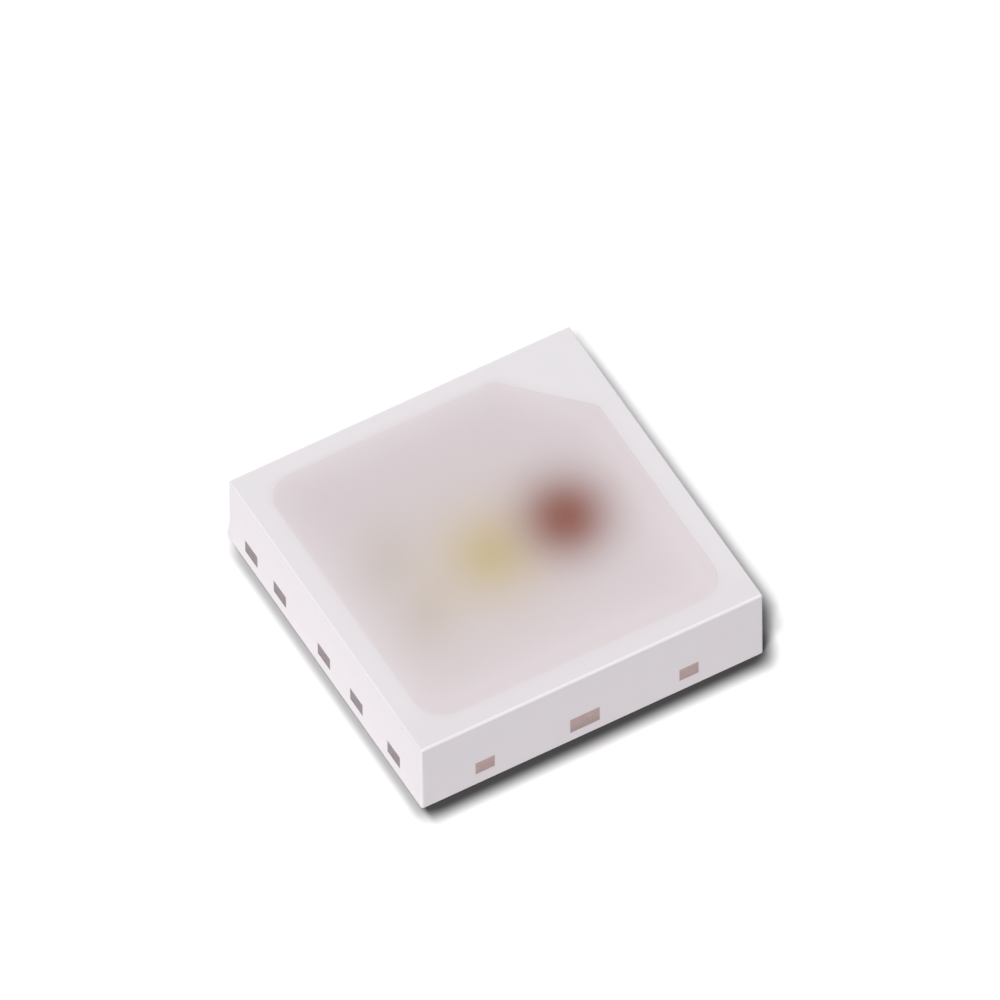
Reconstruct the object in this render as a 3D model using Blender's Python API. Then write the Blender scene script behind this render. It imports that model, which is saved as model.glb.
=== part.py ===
"""A square surface-mount LED with red, green, blue and white chips in one moulded package.

The body is drawn in millimetres under an empty that brings it to metres. Its origin is at the
middle of the underside, +X runs along the front face and +Y to the back. The polarity mark is
the cut-off cavity corner at +X, +Y.
"""

import math

import bmesh
import bpy
from mathutils import Matrix, Vector

MILLIMETRE = 0.001  # scale of the empty that carries every piece

# Body and cavity
HALF_WIDTH = 1.75  # middle of the body to each side face
BODY_HEIGHT = 0.85
WALL = 0.225  # rim around the cavity, at the top
CAVITY_DRAFT = 7.5  # degrees that the cavity's walls lean back
CAVITY_CORNER = 0.29
MARK_LEG = 0.69  # leg of the corner that the polarity mark cuts off
MARK_CORNER = 0.12
FIT = 0.006  # clearance between a piece and what is moulded or set around it

# Encapsulant
FILL_STEP = 0.006  # rim to the silicone's edge
MENISCUS_DEPTH = 0.022
MENISCUS_REACH = 0.42

# Lead frame
FRAME_THICKNESS = 0.31
ETCH_DEPTH = 0.155  # half etch, taken off from below: the underside of plates and tie bars
LOCK_LIP = 0.035  # half-etched lip that the resin holds
ETCH_GAP = 0.12
ETCH_CORNER = 0.045
SHOULDER = 0.09  # corner lead past its corner tie
CORNER_SETBACK = 0.46  # front or back face to the middle of a corner lead
PAD_LENGTH = 0.38
PAD_WIDTH = 0.36
PAD_SETBACK = 0.11  # side face to the solder pad
PADDLE_SETBACK = 0.315  # front and back faces to the paddle
WING_WIDTH = 1.50
MARK_PAD_LEG = 0.22  # cut-off corner of the thermal pad

# Tie bars: middles from the body's middle, or from their lead's own middle, and widths
SIDE_TIE_WIDTH = 0.22
LEAD_TIE_SHIFTS = (0.05, 0.39, -0.14, 0.045)  # from the back lead to the front one
ARM_SHIFT = 0.02
CORNER_TIE_WIDTH = 0.195
CORNER_TIE_LEFT = 1.10
CORNER_TIE_RIGHT = 0.985
MIDDLE_TIE_WIDTH = 0.30
MIDDLE_TIE_SHIFT = -0.08
MIDDLE_TIE_THICKNESS = 0.185

# Chips
WING_MARGIN = 0.055  # chip to the wing's edge
PAIR_CHIP = 0.42  # blue and green
PAIR_HEIGHT = 0.12
PAIR_SPACING = 0.72
PAIR_SHIFT = 0.025
WHITE_CHIP = 0.60
WHITE_HEIGHT = 0.12
WHITE_PLACE = (-0.045, 0.07)
RED_CHIP = 0.55
RED_HEIGHT = 0.15
RED_SHIFT = 0.105
GLUE_THICKNESS = 0.02
GLUE_FILLET = 0.02
PHOSPHOR_THICKNESS = 0.05
PHOSPHOR_OVERHANG = 0.02
BOND_NOTCH = 0.16  # corner of the phosphor that is cut away for a bond

# Bond wires
WIRE = 0.032
BALL = 0.076
BALL_HEIGHT = 0.020
NECK_HEIGHT = 0.010  # over which the ball narrows to the wire
NECK_LENGTH = 0.020  # straight wire above it
BOND_INSET = 0.07  # ball's middle from the chip's edges
LANDING_INSET = 0.08  # stitch from the free edges of a corner lead
STITCH = 0.06
LOOP_RISE = 0.15
LOOP_FALL = 0.3  # share of its span over which a wire comes down
LOOP_STEPS = 12

CHORD_TOLERANCE = 0.002  # how far a facet may lie inside its arc
LARGEST_ROUNDING = 0.45  # share of the shorter edge beside a corner that its arc may take
WELD = 0.00001

CAVITY_HALF = HALF_WIDTH - WALL
PAD_OUTER = HALF_WIDTH - PAD_SETBACK
PAD_INNER = PAD_OUTER - PAD_LENGTH
LEAD_INNER = PAD_INNER - LOCK_LIP
WING_HALF = LEAD_INNER - ETCH_GAP
PADDLE_HALF = HALF_WIDTH - PADDLE_SETBACK
ROWS = (1.5, 0.5, -0.5, -1.5)  # leads of one side, in pitches, from the back to the front
LEAD_PITCH = (HALF_WIDTH - CORNER_SETBACK) / ROWS[0]


def clear_scene():
    """Removes every object that the file starts with."""
    for leftover in list(bpy.data.objects):
        bpy.data.objects.remove(leftover, do_unlink=True)


def collection(name):
    """A new collection in the scene."""
    group = bpy.data.collections.new(name)
    bpy.context.scene.collection.children.link(group)
    return group


def finish(name, colour, roughness, metallic=0.0):
    """A Principled material of one colour."""
    material = bpy.data.materials.new(name)
    material.use_nodes = True
    shader = material.node_tree.nodes["Principled BSDF"]
    shader.inputs["Base Color"].default_value = (*colour, 1.0)
    shader.inputs["Roughness"].default_value = roughness
    shader.inputs["Metallic"].default_value = metallic
    return material


def bent_corners(corners):
    """The corners of an outline without those at which it doesn't turn."""
    places = [corner for index, corner in enumerate(corners) if corner[:2] != corners[index - 1][:2]]
    kept = []
    for index, (x, y, radius) in enumerate(places):
        x_before, y_before, _ = places[index - 1]
        x_after, y_after, _ = places[(index + 1) % len(places)]
        if (x - x_before) * (y_after - y) != (y - y_before) * (x_after - x):
            kept.append((x, y, radius))
    return kept


def rounded_outline(corners, grow=0.0):
    """Counter-clockwise outline from corners (x, y, radius), moved out by grow on all sides.

    A convex corner's radius grows with the outline and a concave one's shrinks, so that the
    result lies the same distance from the plain outline all the way round. A corner's arc takes
    less than half of the edges beside it.
    """
    corners = bent_corners(corners)
    points = []
    for index, (x, y, radius) in enumerate(corners):
        here = Vector((x, y))
        before = here - Vector(corners[index - 1][:2])
        after = Vector(corners[(index + 1) % len(corners)][:2]) - here
        room = min(before.length, after.length) * LARGEST_ROUNDING
        into, onward = before.normalized(), after.normalized()
        bend = math.copysign(1.0, into.x * onward.y - into.y * onward.x)
        normal_in = Vector((into.y, -into.x))
        normal_on = Vector((onward.y, -onward.x))
        tip = here + (normal_in + normal_on) * grow / (1 + normal_in.dot(normal_on))
        if radius == 0:
            points.append(tip)
            continue
        angle = math.acos(max(-1.0, min(1.0, into.dot(onward))))
        limited = min(radius, room / math.tan(angle / 2))
        grown = max(limited + bend * grow, limited / 10)
        centre = tip - into * grown * math.tan(angle / 2) - bend * normal_in * grown
        widest_step = 2 * math.acos(1 - CHORD_TOLERANCE / radius)
        steps = math.ceil(angle / widest_step)
        for step in range(steps + 1):
            turned = Matrix.Rotation(bend * angle * step / steps, 2) @ normal_in
            points.append(centre + bend * grown * turned)
    return points


def lofted(rings):
    """A closed solid through rings of equally many points (x, y, z), from the lowest up."""
    shape = bmesh.new()
    loops = []
    for ring in rings:
        corners = [shape.verts.new(point) for point in ring]
        loops.append([shape.edges.new(pair) for pair in zip(corners, corners[1:] + corners[:1])])
    for below, above in zip(loops, loops[1:]):
        bmesh.ops.bridge_loops(shape, edges=below + above)
    bmesh.ops.edgeloop_fill(shape, edges=loops[0])
    bmesh.ops.edgeloop_fill(shape, edges=loops[-1])
    bmesh.ops.recalc_face_normals(shape, faces=shape.faces)
    mesh = bpy.data.meshes.new("lofted")
    shape.to_mesh(mesh)
    shape.free()
    return mesh


def plate(corners, bottom, top, grow=0.0):
    """A flat outline between two heights, as a mesh; grow adds clearance on every side."""
    outline = rounded_outline(corners, grow)
    heights = (bottom - grow, top + grow)
    return lofted([[(point.x, point.y, height) for point in outline] for height in heights])


def rectangle(x_middle, y_middle, x_size, y_size, radius=0.0):
    """Corners of a rectangle around a middle."""
    left, right = x_middle - x_size / 2, x_middle + x_size / 2
    front, back = y_middle - y_size / 2, y_middle + y_size / 2
    return [
        (left, front, radius),
        (right, front, radius),
        (right, back, radius),
        (left, back, radius),
    ]


def tie_bar(side, base, middle, width):
    """Corners of a tie bar that leaves a plate's edge at base and ends sawn off in a side face."""
    low, high = middle - width / 2, middle + width / 2
    if side == "front":
        bar = [(low, base), (low, -HALF_WIDTH), (high, -HALF_WIDTH), (high, base)]
    elif side == "right":
        bar = [(base, low), (HALF_WIDTH, low), (HALF_WIDTH, high), (base, high)]
    elif side == "back":
        bar = [(high, base), (high, HALF_WIDTH), (low, HALF_WIDTH), (low, base)]
    else:
        bar = [(base, high), (-HALF_WIDTH, high), (-HALF_WIDTH, low), (base, low)]
    radii = (ETCH_CORNER, 0.0, 0.0, ETCH_CORNER)
    return [(x, y, radius) for (x, y), radius in zip(bar, radii)]


def place_piece(name, data, material):
    """Puts a finished shape into the model as one named piece."""
    piece = bpy.data.objects.new(name, data)
    parts.objects.link(piece)
    piece.parent = millimetres
    data.materials.clear()
    data.materials.append(material)
    return piece


def apply_boolean(piece, operation, name, mesh):
    """Cuts a piece with a mesh, or joins the mesh to it, by a live Boolean modifier."""
    operand = bpy.data.objects.new(name, mesh)
    cutters.objects.link(operand)
    operand.parent = millimetres
    operand.hide_render = True
    operand.display_type = "WIRE"
    modifier = piece.modifiers.new(name, "BOOLEAN")
    modifier.operation = operation
    modifier.solver = "EXACT"
    modifier.object = operand


def cavity_outline(height, grow=0.0):
    """The cavity's outline at one height: it narrows downwards by the draft."""
    lean = math.tan(math.radians(CAVITY_DRAFT))
    half = CAVITY_HALF
    corners = [
        (-half, -half, CAVITY_CORNER),
        (half, -half, CAVITY_CORNER),
        (half, half - MARK_LEG, MARK_CORNER),
        (half - MARK_LEG, half, MARK_CORNER),
        (-half, half, CAVITY_CORNER),
    ]
    outline = rounded_outline(corners, grow - (BODY_HEIGHT - height) * lean)
    return [(point.x, point.y, height) for point in outline]


def lead_row(row):
    """Middle of a lead's solder pad along Y."""
    return ROWS[row] * LEAD_PITCH


def lead_tie(row):
    """Middle of a lead's tie bar to the side face, along Y."""
    return lead_row(row) + LEAD_TIE_SHIFTS[row]


def lead_reach(side, row):
    """Distance from the middle to a lead's free inner edge, which takes in its corner tie."""
    if row in (1, 2):
        return LEAD_INNER
    corner_tie = CORNER_TIE_LEFT if side == "left" else CORNER_TIE_RIGHT
    return min(LEAD_INNER, corner_tie - CORNER_TIE_WIDTH / 2 - SHOULDER)


def lead_span(row):
    """Front and back edges of a lead's half-etched plate, which take in its pad and its tie."""
    half = PAD_WIDTH / 2 + LOCK_LIP
    tie_low, tie_high = lead_tie(row) - SIDE_TIE_WIDTH / 2, lead_tie(row) + SIDE_TIE_WIDTH / 2
    low, high = min(lead_row(row) - half, tie_low), max(lead_row(row) + half, tie_high)
    return low, high


def lead_plate(side, row):
    """Outline of a lead's half-etched plate with its tie bars."""
    low, high = lead_span(row)
    inner, outer = lead_reach(side, row), PAD_OUTER + LOCK_LIP
    corner_tie = -CORNER_TIE_LEFT if side == "left" else CORNER_TIE_RIGHT
    left, right = (-outer, -inner) if side == "left" else (inner, outer)
    front_tie, back_tie, right_tie, left_tie = [], [], [], []
    if row == 3:
        front_tie = tie_bar("front", low, corner_tie, CORNER_TIE_WIDTH)
    if row == 0:
        back_tie = tie_bar("back", high, corner_tie, CORNER_TIE_WIDTH)
    if side == "left":
        left_tie = tie_bar("left", left, lead_tie(row), SIDE_TIE_WIDTH)
    else:
        right_tie = tie_bar("right", right, lead_tie(row), SIDE_TIE_WIDTH)
    return [
        (left, low, ETCH_CORNER),
        *front_tie,
        (right, low, ETCH_CORNER),
        *right_tie,
        (right, high, ETCH_CORNER),
        *back_tie,
        (left, high, ETCH_CORNER),
        *left_tie,
    ]


def solder_pad(side, row):
    """Outline of a lead's full-thickness part, which is the solder pad underneath."""
    middle = PAD_OUTER - PAD_LENGTH / 2
    x_middle = -middle if side == "left" else middle
    return rectangle(x_middle, lead_row(row), PAD_LENGTH, PAD_WIDTH, ETCH_CORNER)


def neck_half():
    """Half width of the paddle between the corner leads."""
    return min(lead_reach("left", 0), lead_reach("right", 0)) - ETCH_GAP


def paddle_plate():
    """Outline of the paddle: a long neck, wings that carry chips, and a tie bar to each side."""
    neck, length, wing = neck_half(), PADDLE_HALF, WING_WIDTH / 2
    return [
        (-neck, -length, ETCH_CORNER),
        *tie_bar("front", -length, MIDDLE_TIE_SHIFT, MIDDLE_TIE_WIDTH),
        (neck, -length, ETCH_CORNER),
        (neck, -wing, ETCH_CORNER),
        (WING_HALF, -wing, ETCH_CORNER),
        *tie_bar("right", WING_HALF, ARM_SHIFT, SIDE_TIE_WIDTH),
        (WING_HALF, wing, ETCH_CORNER),
        (neck, wing, ETCH_CORNER),
        (neck, length, ETCH_CORNER),
        *tie_bar("back", length, MIDDLE_TIE_SHIFT, MIDDLE_TIE_WIDTH),
        (-neck, length, ETCH_CORNER),
        (-neck, wing, ETCH_CORNER),
        (-WING_HALF, wing, ETCH_CORNER),
        *tie_bar("left", -WING_HALF, ARM_SHIFT, SIDE_TIE_WIDTH),
        (-WING_HALF, -wing, ETCH_CORNER),
        (-neck, -wing, ETCH_CORNER),
    ]


def thermal_pad():
    """Outline of the paddle's full-thickness part, with one corner cut off beside the mark."""
    half, length = neck_half() - LOCK_LIP, PADDLE_HALF - LOCK_LIP
    return [
        (-half, -length, ETCH_CORNER),
        (half, -length, ETCH_CORNER),
        (half, length - MARK_PAD_LEG, ETCH_CORNER),
        (half - MARK_PAD_LEG, length, ETCH_CORNER),
        (-half, length, ETCH_CORNER),
    ]


def middle_tie(side):
    """Outline of the thicker underside of the paddle's front or back tie bar."""
    low, high = PADDLE_HALF - 2 * LOCK_LIP, HALF_WIDTH
    y_middle = (low + high) / 2 if side == "back" else -(low + high) / 2
    return rectangle(MIDDLE_TIE_SHIFT, y_middle, MIDDLE_TIE_WIDTH, high - low)


def frame_shapes():
    """Every lead-frame piece by name, as its (outline, bottom, top) shapes, plate first."""
    inside = (ETCH_DEPTH + FRAME_THICKNESS) / 2  # lower shapes end inside the plate
    tie_bottom = FRAME_THICKNESS - MIDDLE_TIE_THICKNESS
    shapes = {
        "thermal_paddle": [
            (paddle_plate(), ETCH_DEPTH, FRAME_THICKNESS),
            (thermal_pad(), 0.0, inside),
            (middle_tie("front"), tie_bottom, inside),
            (middle_tie("back"), tie_bottom, inside),
        ]
    }
    for side in ("left", "right"):
        for row in range(len(ROWS)):
            shapes[f"lead_{side}_{row + 1}"] = [
                (lead_plate(side, row), ETCH_DEPTH, FRAME_THICKNESS),
                (solder_pad(side, row), 0.0, inside),
            ]
    return shapes


def make_frame():
    """The paddle and the eight leads, each a half-etched plate joined to its full-thickness pad."""
    for name, (first, *others) in frame_shapes().items():
        piece = place_piece(name, plate(*first), copper)
        for number, shape in enumerate(others):
            apply_boolean(piece, "UNION", f"{name}_pad_{number + 1}", plate(*shape))


def make_housing():
    """The white block, cut by the drafted cavity and by a pocket around each lead-frame piece."""
    block = rectangle(0, 0, 2 * HALF_WIDTH, 2 * HALF_WIDTH)
    housing = place_piece("housing", plate(block, 0.0, BODY_HEIGHT), white_resin)
    above = BODY_HEIGHT + WALL
    cavity = lofted([cavity_outline(FRAME_THICKNESS), cavity_outline(above)])
    apply_boolean(housing, "DIFFERENCE", "cavity", cavity)
    for name, shapes in frame_shapes().items():
        for number, shape in enumerate(shapes):
            pocket = plate(*shape, grow=FIT)
            apply_boolean(housing, "DIFFERENCE", f"{name}_pocket_{number + 1}", pocket)


def chip_places():
    """Middle (x, y), side and height of each chip, by its colour."""
    pair_x = -(WING_HALF - WING_MARGIN - PAIR_CHIP / 2)
    red_x = WING_HALF - WING_MARGIN - RED_CHIP / 2
    return {
        "red": (red_x, RED_SHIFT, RED_CHIP, RED_HEIGHT),
        "white": (*WHITE_PLACE, WHITE_CHIP, WHITE_HEIGHT),
        "blue": (pair_x, PAIR_SHIFT + PAIR_SPACING / 2, PAIR_CHIP, PAIR_HEIGHT),
        "green": (pair_x, PAIR_SHIFT - PAIR_SPACING / 2, PAIR_CHIP, PAIR_HEIGHT),
    }


def glue_layer(colour, grow=0.0):
    """The die attach under a chip: a thin slab that flares out to the paddle."""
    x, y, side, _ = chip_places()[colour]
    bottom = FRAME_THICKNESS + FIT
    rings = []
    for height, flare in ((bottom - grow, 2 * GLUE_FILLET), (bottom + GLUE_THICKNESS + grow, 0.0)):
        outline = rounded_outline(rectangle(x, y, side + flare, side + flare), grow)
        rings.append([(point.x, point.y, height) for point in outline])
    return lofted(rings)


def chip_bottom():
    """Height of every chip's underside."""
    return FRAME_THICKNESS + FIT + GLUE_THICKNESS + FIT


def chip_top(colour):
    """Height of a chip's top face."""
    return chip_bottom() + chip_places()[colour][3]


def chip_body(colour, grow=0.0):
    """A chip: a square block."""
    x, y, side, _ = chip_places()[colour]
    return plate(rectangle(x, y, side, side), chip_bottom(), chip_top(colour), grow)


def phosphor_body(grow=0.0):
    """The phosphor layer: a square sheet with the two corners on its right cut away for bonds."""
    x, y, side, _ = chip_places()["white"]
    half, notch = side / 2 + PHOSPHOR_OVERHANG, side / 2 - BOND_NOTCH
    outline = [
        (x - half, y - half, 0.0),
        (x + notch, y - half, 0.0),
        (x + notch, y - notch, 0.0),
        (x + half, y - notch, 0.0),
        (x + half, y + notch, 0.0),
        (x + notch, y + notch, 0.0),
        (x + notch, y + half, 0.0),
        (x - half, y + half, 0.0),
    ]
    bottom = chip_top("white") + FIT
    return plate(outline, bottom, bottom + PHOSPHOR_THICKNESS, grow)


def chip_bond(colour, x_side, y_side):
    """Foot of a ball bond on a chip's top, near the corner that the two signs name."""
    x, y, side, _ = chip_places()[colour]
    inset = side / 2 - BOND_INSET
    return Vector((x + x_side * inset, y + y_side * inset, chip_top(colour) + FIT))


def landing(side, row):
    """Where a wire's stitch ends on a lead's top, inside the cavity."""
    wall = CAVITY_HALF - (BODY_HEIGHT - FRAME_THICKNESS) * math.tan(math.radians(CAVITY_DRAFT))
    low, high = lead_span(row)
    if row in (1, 2):
        x, y = (LEAD_INNER + wall) / 2, lead_row(row)
    else:
        x = lead_reach(side, row) + LANDING_INSET
        y = low + LANDING_INSET if row == 0 else high - LANDING_INSET
    return Vector((-x if side == "left" else x, y, FRAME_THICKNESS + FIT + WIRE / 2))


def wire_routes():
    """Start and end of each bond wire, by name. The paddle's own bond starts on its wing."""
    wing_bond = Vector((WING_HALF - LANDING_INSET, lead_row(2), FRAME_THICKNESS + FIT))
    return {
        "wire_blue_1": (chip_bond("blue", -1, 1), landing("left", 0)),
        "wire_blue_2": (chip_bond("blue", -1, -1), landing("left", 1)),
        "wire_green_1": (chip_bond("green", -1, 1), landing("left", 2)),
        "wire_green_2": (chip_bond("green", -1, -1), landing("left", 3)),
        "wire_white_1": (chip_bond("white", 1, 1), landing("right", 0)),
        "wire_white_2": (chip_bond("white", 1, -1), landing("right", 3)),
        "wire_red": (chip_bond("red", 0, 0), landing("right", 1)),
        "wire_paddle": (wing_bond, landing("right", 2)),
    }


def wire_path(start, end):
    """Points (place, radius factor) of a bond wire: ball, neck, loop and flat stitch."""
    ball = BALL / WIRE
    ball_top = start + Vector((0, 0, BALL_HEIGHT))
    neck = ball_top + Vector((0, 0, NECK_HEIGHT))
    bend = neck + Vector((0, 0, NECK_LENGTH))
    along = (end - start) * Vector((1, 1, 0))
    stitch_start = end - along.normalized() * STITCH
    rising = bend + Vector((0, 0, LOOP_RISE))
    falling = stitch_start - along * LOOP_FALL
    falling.z = bend.z + LOOP_RISE / 4
    points = [(start, ball), (ball_top, ball), (neck, 1.0)]
    for step in range(LOOP_STEPS + 1):
        t = step / LOOP_STEPS
        place = (
            bend * (1 - t) ** 3
            + rising * 3 * t * (1 - t) ** 2
            + falling * 3 * t**2 * (1 - t)
            + stitch_start * t**3
        )
        points.append((place, 1.0))
    points.append((end, 1.0))
    return points


def wire_curve(name, start, end, grow=0.0):
    """A bond wire as a bevelled curve with filled ends; grow adds clearance all round it."""
    curve = bpy.data.curves.new(name, "CURVE")
    curve.dimensions = "3D"
    curve.bevel_depth = WIRE / 2 + grow
    curve.bevel_resolution = 2
    curve.use_fill_caps = True
    path = wire_path(start, end)
    if grow:
        path[0] = (start - Vector((0, 0, 2 * grow)), path[0][1])
        path[1] = (path[1][0] + Vector((0, 0, grow)), path[1][1])
        path[-1] = (end + (end - path[-2][0]).normalized() * grow, 1.0)
    spline = curve.splines.new("POLY")
    spline.points.add(len(path) - 1)
    for point, (place, factor) in zip(spline.points, path):
        point.co = (*place, 1.0)
        point.radius = factor
    return curve


def welded_mesh(curve):
    """The curve's solid as a mesh, with its loose end caps welded to its sides."""
    drawn = bpy.data.objects.new("drawn", curve)
    bpy.context.scene.collection.objects.link(drawn)
    evaluated = drawn.evaluated_get(bpy.context.evaluated_depsgraph_get())
    mesh = bpy.data.meshes.new_from_object(evaluated)
    bpy.data.objects.remove(drawn, do_unlink=True)
    bpy.data.curves.remove(curve)
    shape = bmesh.new()
    shape.from_mesh(mesh)
    bmesh.ops.remove_doubles(shape, verts=shape.verts, dist=WELD)
    shape.to_mesh(mesh)
    shape.free()
    return mesh


def make_chips():
    """The four chips on their glue, and the phosphor on the white one."""
    for colour in chip_places():
        place_piece(f"die_attach_{colour}", glue_layer(colour), silver_glue)
        place_piece(f"chip_{colour}", chip_body(colour), chip_finishes[colour])
    place_piece("phosphor_layer", phosphor_body(), phosphor)


def make_wires():
    """The eight gold bond wires."""
    for name, (start, end) in wire_routes().items():
        place_piece(name, wire_curve(name, start, end), gold)


def make_encapsulant():
    """The silicone: the cavity's form with a shallow meniscus, and a hollow for all it covers."""
    edge = BODY_HEIGHT - FILL_STEP
    slope = (
        (edge - MENISCUS_DEPTH * 0.6, MENISCUS_REACH * 0.3),
        (edge - MENISCUS_DEPTH, MENISCUS_REACH),
    )
    rings = [cavity_outline(FRAME_THICKNESS + FIT, -FIT), cavity_outline(edge, -FIT)]
    for height, inward in slope:
        ring = cavity_outline(BODY_HEIGHT, -FIT - inward)
        rings.append([(x, y, height) for x, y, _ in ring])
    encapsulant = place_piece("encapsulant", lofted(rings), silicone)
    for colour in chip_places():
        apply_boolean(encapsulant, "DIFFERENCE", f"glue_hollow_{colour}", glue_layer(colour, 2 * FIT))
        apply_boolean(encapsulant, "DIFFERENCE", f"chip_hollow_{colour}", chip_body(colour, FIT))
    apply_boolean(encapsulant, "DIFFERENCE", "phosphor_hollow", phosphor_body(FIT))
    for name, (start, end) in wire_routes().items():
        hollow = welded_mesh(wire_curve(name, start, end, FIT))
        apply_boolean(encapsulant, "DIFFERENCE", f"{name}_hollow", hollow)


clear_scene()
parts = collection("smd_led")
cutters = collection("cutters")
millimetres = bpy.data.objects.new("millimetres", None)
millimetres.scale = (MILLIMETRE, MILLIMETRE, MILLIMETRE)
parts.objects.link(millimetres)

white_resin = finish("white_resin", (0.86, 0.84, 0.86), 0.55)
silicone = finish("milky_silicone", (0.70, 0.63, 0.65), 0.35)
copper = finish("plated_copper", (0.80, 0.62, 0.55), 0.35, 1.0)
silver_glue = finish("silver_glue", (0.62, 0.62, 0.60), 0.5, 0.6)
phosphor = finish("phosphor", (0.93, 0.83, 0.22), 0.6)
gold = finish("gold_wire", (0.95, 0.72, 0.32), 0.25, 1.0)
chip_finishes = {
    "red": finish("red_chip", (0.16, 0.06, 0.05), 0.3),
    "white": finish("white_chip", (0.55, 0.58, 0.60), 0.15),
    "blue": finish("blue_chip", (0.50, 0.55, 0.58), 0.15),
    "green": finish("green_chip", (0.52, 0.58, 0.52), 0.15),
}

make_frame()
make_housing()
make_chips()
make_wires()
make_encapsulant()
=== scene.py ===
"""Looks of the square four-colour LED: moulded white body, milky fill, sawn copper ends."""

import math

import bpy
import numpy as np
from mathutils import Matrix, Vector


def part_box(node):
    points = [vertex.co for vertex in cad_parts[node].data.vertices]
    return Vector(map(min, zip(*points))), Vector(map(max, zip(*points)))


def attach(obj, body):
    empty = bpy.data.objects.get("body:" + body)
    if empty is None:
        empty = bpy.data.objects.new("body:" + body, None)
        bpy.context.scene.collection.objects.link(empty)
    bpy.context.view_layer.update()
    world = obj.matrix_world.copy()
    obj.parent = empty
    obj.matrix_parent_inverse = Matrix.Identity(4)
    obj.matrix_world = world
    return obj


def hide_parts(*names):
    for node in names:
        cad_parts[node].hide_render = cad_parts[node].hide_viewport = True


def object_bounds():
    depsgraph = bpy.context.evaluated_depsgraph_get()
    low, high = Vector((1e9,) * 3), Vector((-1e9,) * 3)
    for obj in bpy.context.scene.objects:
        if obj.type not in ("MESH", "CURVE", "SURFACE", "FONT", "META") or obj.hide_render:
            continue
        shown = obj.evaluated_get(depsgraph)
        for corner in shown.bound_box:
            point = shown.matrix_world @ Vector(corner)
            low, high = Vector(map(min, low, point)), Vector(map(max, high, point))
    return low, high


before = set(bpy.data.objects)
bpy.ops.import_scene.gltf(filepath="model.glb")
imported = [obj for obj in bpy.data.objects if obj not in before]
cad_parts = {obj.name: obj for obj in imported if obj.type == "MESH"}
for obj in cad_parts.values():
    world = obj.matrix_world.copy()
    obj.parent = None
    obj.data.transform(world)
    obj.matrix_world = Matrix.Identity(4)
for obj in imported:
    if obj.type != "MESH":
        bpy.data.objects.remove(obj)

CAD_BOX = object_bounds()

MM = 0.001
HALF = CAD_BOX[1].x  # middle of the body to each side face
TOP = CAD_BOX[1].z
FRAME_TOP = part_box("thermal_paddle")[1].z
FILL_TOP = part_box("encapsulant")[1].z
FILL_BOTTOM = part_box("encapsulant")[0].z
FAR = 1.0  # stands for any distance that is too long to matter, in millimetres

# Moulded body
SKIN = 0.002 * MM  # sawn ends and solder pads stand this much proud of the resin
TOP_ROUNDING = 0.022 * MM
UPRIGHT_ROUNDING = 0.024 * MM
LEAST_ROUNDING = UPRIGHT_ROUNDING / 5  # what is left of it where a ring is drawn far in
BOTTOM_ROUNDING = 0.008 * MM
LIP_ROUNDING = 0.006 * MM  # cavity's upper edge
SUPPORT = 0.003 * MM  # rows that hold the flat faces flat beside a rounding
SIDE_STEPS = 118
ARC_STEPS = 8
EDGE_STEPS = 6
WALL_STEPS = 8
RIM_STEPS = 12
RIM_CROWDING = 2  # power by which the rim's rings crowd together towards the cavity
UNDERSIDE_INSETS = (0.8 * HALF, 0.5 * HALF, 0.2 * HALF)
LEFT_EDGE_LIGHT = -0.5  # painted shade on the left side's top edge, instead of the painted highlight

# Cavity, as the part's source gives it
WALL = 0.225 * MM
CAVITY_HALF = HALF - WALL
CAVITY_CORNER = 0.29 * MM
MARK_LEG = 0.69 * MM
MARK_CORNER = 0.12 * MM
CAVITY_DRAFT = math.radians(7.5)
CAVITY_FLOOR_SHARES = (0.9, 0.5, 0.1)  # of its outline, for the rings on its floor
CORNER_POINTS = 40  # along each arc of the outline
OUTLINE_POINTS = 12000  # along the whole of it

# Milky fill
MENISCUS_DEPTH = 0.020 * MM
MENISCUS_FALL = 0.42 * MM  # distance from the rim over which the surface sinks by 63%
WETTING = 0.004 * MM  # how far the silicone creeps onto the cavity's rounded edge
FILM = 0.0003 * MM  # its thickness there
FILL_RINGS = 46
FILL_CROWDING = 1.7  # power by which these rings crowd together towards the rim
FILL_FLOOR_SHARES = (0.3, 0.7, 0.95)
FILL_WAVE = 0.0006 * MM
WAVE_LENGTHS = (0.31 * MM, 0.37 * MM, 0.52 * MM)  # for each radian along x, y and x less y
WAVE_START = 0.7  # of the wave along x, in radians

# Camera, from the fit of the body's corners in the photograph
AZIMUTH = math.radians(-28.78)
ELEVATION = math.radians(52.58)
ROLL = math.radians(-0.94)
PICTURE = 1000  # pixels
BODY_PIXELS = 392.3  # width of the body, as it would show face on
PIXELS_PER_METRE = BODY_PIXELS / (2 * HALF)
ORIGIN_PIXEL = (496.15, 595.54)
DISTANCE = 0.35
SENSOR = 36.0


def srgb(red, green, blue):
    """Linear colour of an 8-bit sRGB one."""
    share = np.array([red, green, blue]) / 255
    return tuple(np.where(share <= 0.04045, share / 12.92, ((share + 0.055) / 1.055) ** 2.4))


def square_ring(half, radius):
    """Counter-clockwise points, as complex numbers, of a square with rounded corners.

    One side runs up at the distance half from the middle, then an arc of the given radius turns
    a quarter; the other three are the same points times i, i squared and i cubed.
    """
    straight = half + 1j * np.linspace(radius - half, half - radius, SIDE_STEPS)
    turn = np.linspace(0, math.pi / 2, ARC_STEPS + 2)[1:-1]
    arc = (half - radius) * (1 + 1j) + radius * np.exp(1j * turn)
    quarter = np.concatenate([straight, arc])
    return np.concatenate([quarter * 1j**k for k in range(4)])


DIRECTIONS = np.angle(square_ring(HALF, UPRIGHT_ROUNDING))  # of every ring's points


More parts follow.
